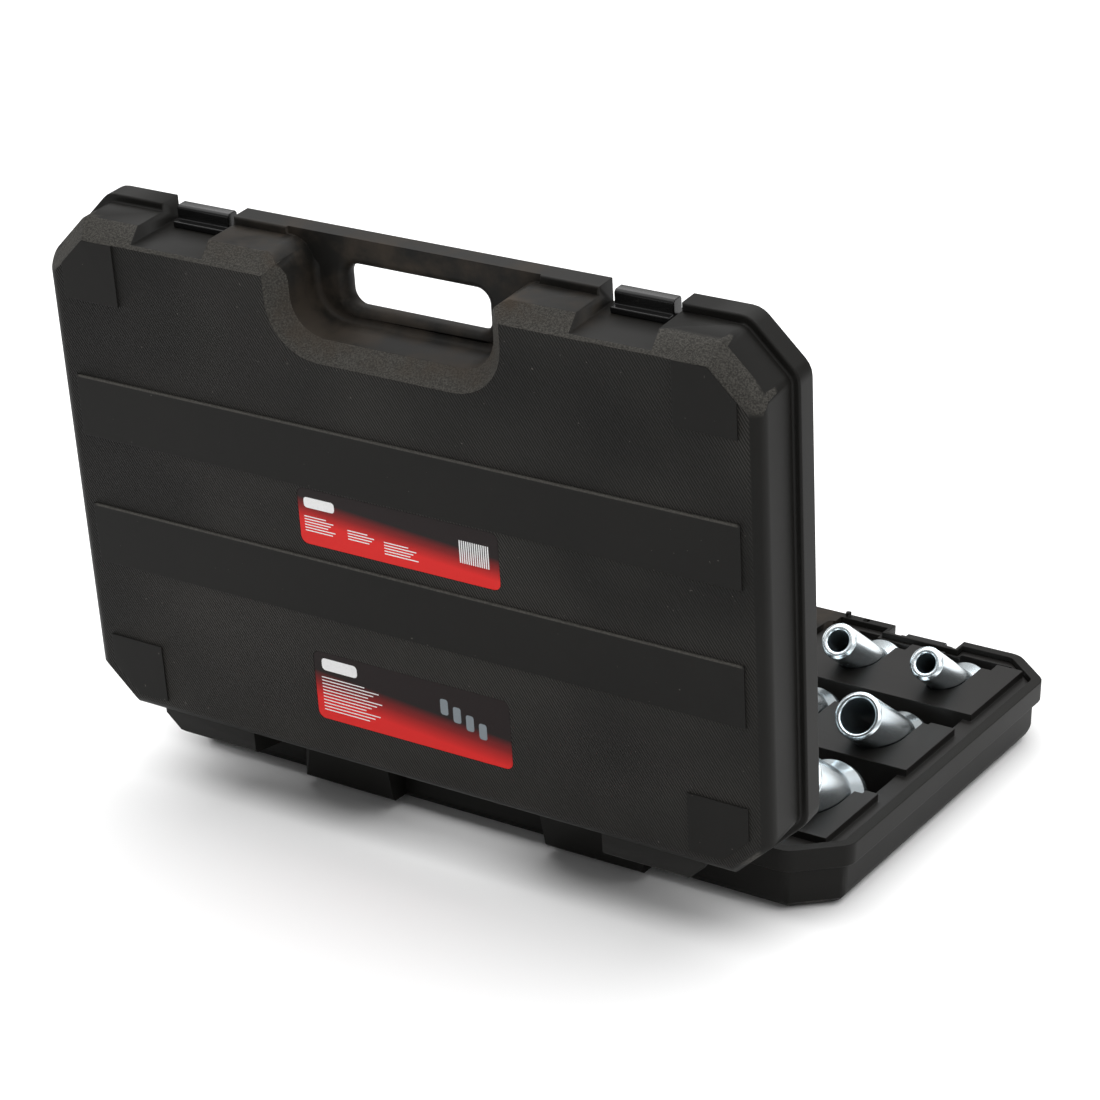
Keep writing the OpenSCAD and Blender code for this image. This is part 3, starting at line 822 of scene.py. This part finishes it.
@dataclass
class Label:
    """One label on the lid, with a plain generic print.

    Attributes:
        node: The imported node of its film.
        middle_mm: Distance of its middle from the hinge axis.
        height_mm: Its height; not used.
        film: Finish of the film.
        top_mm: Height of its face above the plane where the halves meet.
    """

    node: str
    middle_mm: float
    height_mm: float
    film: LabelFilm
    top_mm: float = 50.9

    def build(self, prints: Prints) -> None:
        """Dresses the film and lays the print on it.

        Args:
            prints: For each print its colour and its blocks, given as middle, width and height in
                millimetres from the label's own middle.
        """
        dress(self.node, self.film.material())
        for name, (colour, boxes) in prints.items():
            bm = bmesh.new()
            for x, s, w, h in boxes:
                self.block(bm, x, s, w, h)
            finished(f"{self.node}_{name}", bm, Ink(f"{self.node}_{name}_ink", colour).material(),
                     "lid")

    def block(self, bm: bmesh.types.BMesh, x: float, s: float, w: float, h: float) -> None:
        """Adds one thin block of print with rounded corners."""
        made = bmesh.ops.create_cube(bm, size=1.0)
        verts = made["verts"]
        size = Matrix.Diagonal((w * MM, h * MM, 0.05 * MM, 1))
        turn = Matrix((Vector((1, 0, 0)), LID.along, LID.out)).transposed().to_4x4()
        place = Matrix.Translation(LID.place(-x, self.middle_mm + s, self.top_mm + 0.02))
        bmesh.ops.transform(bm, matrix=place @ turn @ size, verts=verts)
        upright = {e for v in verts for e in v.link_edges
                   if abs((e.verts[0].co - e.verts[1].co).normalized().dot(LID.out)) > 0.9}
        bmesh.ops.bevel(bm, geom=list(upright), offset=min(w, h) * 0.3 * MM, offset_type="OFFSET",
                        segments=3, profile=0.5, affect="EDGES", clamp_overlap=True, material=-1)


def print_lines(x: float, s: float, w: float, count: int, pitch: float,
                h: float = 0.7) -> list[Block]:
    """Short even bars below each other, each a little different in length.

    Args:
        x: Left end of the bars.
        s: Place of the first bar.
        w: Greatest length.
        count: Number of bars.
        pitch: Distance between them.
        h: Height of one bar.

    Returns:
        The bars as blocks.
    """
    lengths = [w * (0.72 + 0.28 * ((i * 5 % 7) / 6)) for i in range(count)]
    return [(x + length / 2, s - pitch * i, length, h) for i, length in enumerate(lengths)]


# ------------------------------------------------------------------ studio


@dataclass
class Studio:
    """Camera, floor and soft light.

    Attributes:
        place: Place of the camera.
        yaw: Its turn about the vertical.
        pitch: Its downward tilt.
        roll: Its turn about its own line of sight.
        lens_mm: Its focal length.
        floor: Brightness of the floor.
    """

    place: Vector = Vector((-0.9786, 1.7046, 0.9240))
    yaw: float = 0.5441136
    pitch: float = 0.3838899
    roll: float = 0.0134255
    lens_mm: float = 104.363
    floor: float = 0.92

    def build(self) -> None:
        """Creates the camera, the floor, the lights and the world."""
        self.camera()
        self.ground()
        self.light("overhead", (0.2, -0.6, 3.4), (0, -0.6, 0), 7.0, 330)
        self.light("left_back", (-2.4, 0.6, 1.7), (0, 0.1, 0.2), 1.2, 10)
        self.sky(0.42)
        bpy.context.scene.view_settings.view_transform = "Standard"

    def camera(self) -> None:
        """Creates the scene's camera."""
        f = Vector((math.sin(self.yaw) * math.cos(self.pitch),
                    -math.cos(self.yaw) * math.cos(self.pitch), -math.sin(self.pitch)))
        r0 = f.cross(Vector((0, 0, 1))).normalized()
        u0 = r0.cross(f)
        c, s = math.cos(self.roll), math.sin(self.roll)
        right, up = c * r0 + s * u0, c * u0 - s * r0
        data = bpy.data.cameras.new("camera")
        data.lens = self.lens_mm
        data.sensor_width = 36
        data.clip_start = 0.05
        camera = bpy.data.objects.new("camera", data)
        camera.matrix_world = Matrix.Translation(self.place) @ Matrix(
            (right, up, -f)).transposed().to_4x4()
        bpy.context.scene.collection.objects.link(camera)
        bpy.context.scene.camera = camera

    def ground(self) -> None:
        """Lays a wide pale floor just below the case."""
        bm = bmesh.new()
        bmesh.ops.create_grid(bm, x_segments=2, y_segments=2, size=12)
        bmesh.ops.translate(bm, verts=bm.verts, vec=(0, 0, -0.0004))
        mesh = bpy.data.meshes.new("floor")
        bm.to_mesh(mesh)
        bm.free()
        sh = Shader("floor_paper")
        tone = sh.mix(sh.noise(0.002, 2), (self.floor,) * 3, (self.floor * 0.985,) * 3)
        mesh.materials.append(sh.finish(Base_Color=tone, Roughness=0.9, Specular_IOR_Level=0.1))
        floor = bpy.data.objects.new("floor", mesh)
        bpy.context.scene.collection.objects.link(floor)

    @staticmethod
    def light(name: str, place: Iterable[float], aim: Iterable[float], size: float,
              power: float) -> None:
        """Hangs one soft square light.

        Args:
            name: Name of the light.
            place: Where it hangs.
            aim: Where it points.
            size: Length of its side.
            power: Its power in watts.
        """
        data = bpy.data.lights.new(name, "AREA")
        data.shape = "SQUARE"
        data.size = size
        data.energy = power
        light = bpy.data.objects.new(name, data)
        light.location = Vector(place)
        away = Vector(place) - Vector(aim)
        light.rotation_euler = away.to_track_quat("Z", "Y").to_euler()
        bpy.context.scene.collection.objects.link(light)

    @staticmethod
    def sky(strength: float) -> None:
        """Fills the world with an even light."""
        world = bpy.data.worlds.new("studio")
        world.use_nodes = True
        background = world.node_tree.nodes["Background"]
        background.inputs["Color"].default_value = (1, 1, 1, 1)
        background.inputs["Strength"].default_value = strength
        bpy.context.scene.world = world


# -------------------------------------------------------------------- main


def build_mouldings() -> None:
    """Builds the case halves, the tray, the liner and the latches."""
    grip = [Rounding(6.0, 5, within((0, 314, 12.9), (49.1, 342.1, 13.1)), 0.3, clamp=False),
            Rounding(5.0, 4, within((0, 314, -0.1), (49.1, 342.1, 0.1)), 0.3, clamp=False),
            Rounding(6.0, 5, within((0, 359.9, 12.9), (95, 360.1, 13.1)), 0.3, clamp=False),
            Rounding(4.0, 4, within((0, 304, 12.9), (72, 350, 13.1)), 2.0, clamp=False)]
    rims = [Rounding(1.6, 3, within((0, 0, -0.1), (251, 361, 0.1)), 1.5, 60),
            Rounding(1.6, 3, within((0, 0, 14.9), (251, 361, 15.1)), 1.5, 60)]
    soft = [Rounding(1.0, 2, anywhere, 3.0)]
    small = [Rounding(0.7, 2, anywhere, 1.5)]
    lid_skin = CaseSkin("lid_skin", LID, highlit_ridges_mm=(163.5, 252.5)).material()
    base_skin = CaseSkin("base_skin", BASE).material()
    tray = SatinPlastic("tray_sheet").material()
    latch = SatinPlastic("latch_gloss", (0.006, 0.006, 0.006), 0.16, 0.28, 0.5, 0.05).material()
    Moulding("lid_shell", LID, "lid", Slot.CASE, lid_skin, grip + rims + soft).build()
    Moulding("base_shell", BASE, "base", Slot.CASE, base_skin, grip + rims + soft).build()
    Moulding("base_tray", BASE, "base", Slot.TRAY, tray, soft).build()
    Moulding("lid_liner", LID, "lid", Slot.TRAY, tray, soft).build()
    for side in Side:
        for part, half, body in (("keeper", LID, "lid"), ("bracket", BASE, "base"),
                                 ("lever", BASE, f"latch_{side.value}")):
            node = f"latch_{part}_{side.value}"
            Moulding(node, half, body, Slot.LATCH, latch, small).build()


def build_pins() -> None:
    """Dresses the steel pins."""
    for node in (f"{kind}_pin_{side.value}" for kind in ("hinge", "latch") for side in Side):
        low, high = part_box(node)
        finish = TurnedSteel("steel_" + node, Vector((1, 0, 0)), (low + high) / 2,
                             (0.44, 0.45, 0.46), (0.28, 0.28, 0.29), 0.3)
        dress(node, finish.material())


def build_labels() -> None:
    """Builds both labels."""
    pale = (0.72, 0.72, 0.72)
    upper = Label("label_upper", 191, 38, LabelFilm("upper_film", 191, 19, -0.004))
    upper.build({
        "badge": (pale, [(-55.5, 9.5, 22, 7.0)]),
        "lines": (pale, print_lines(-67, 0, 22, 6, 1.9) + print_lines(-36, -3, 20, 4, 1.9)
                  + print_lines(-10, -5, 24, 5, 1.9)),
        "bars": (pale, [(44 + 1.5 * i, 1.5, 0.8, 15) for i in range(14)]),
    })
    lower = Label("label_lower", 73.5, 48, LabelFilm("lower_film", 67.5, 24, -0.004))
    lower.build({
        "badge": (pale, [(-52, 15.5, 26, 8.5)]),
        "lines": (pale, print_lines(-66, 6, 44, 11, 2.3)),
        "picture": ((0.16, 0.19, 0.21), [(24 + 9 * i, 8 - 3.4 * i, 5.5, 11) for i in range(4)]),
    })


def main() -> None:
    """Builds every piece in order."""
    logging.basicConfig(level=logging.INFO, format="%(name)s %(message)s")
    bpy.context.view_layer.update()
    Studio().build()
    build_mouldings()
    build_pins()
    SleeveRow("front", s_mm=329, count=2, first_x_mm=-195, tube_mm=11.7, wall_mm=4.9,
              length_mm=86, step_mm=7.0).build()
    SleeveRow("middle", s_mm=228, count=4, first_x_mm=-195, tube_mm=15.9, wall_mm=4.2,
              length_mm=86, step_mm=4.2).build()
    SleeveRow("rear", s_mm=117, count=4, first_x_mm=-198, tube_mm=20.2, wall_mm=4.2,
              length_mm=70, step_mm=5.5).build()
    BushAndRings().build()
    build_labels()


if __name__ == "__main__":
    main()
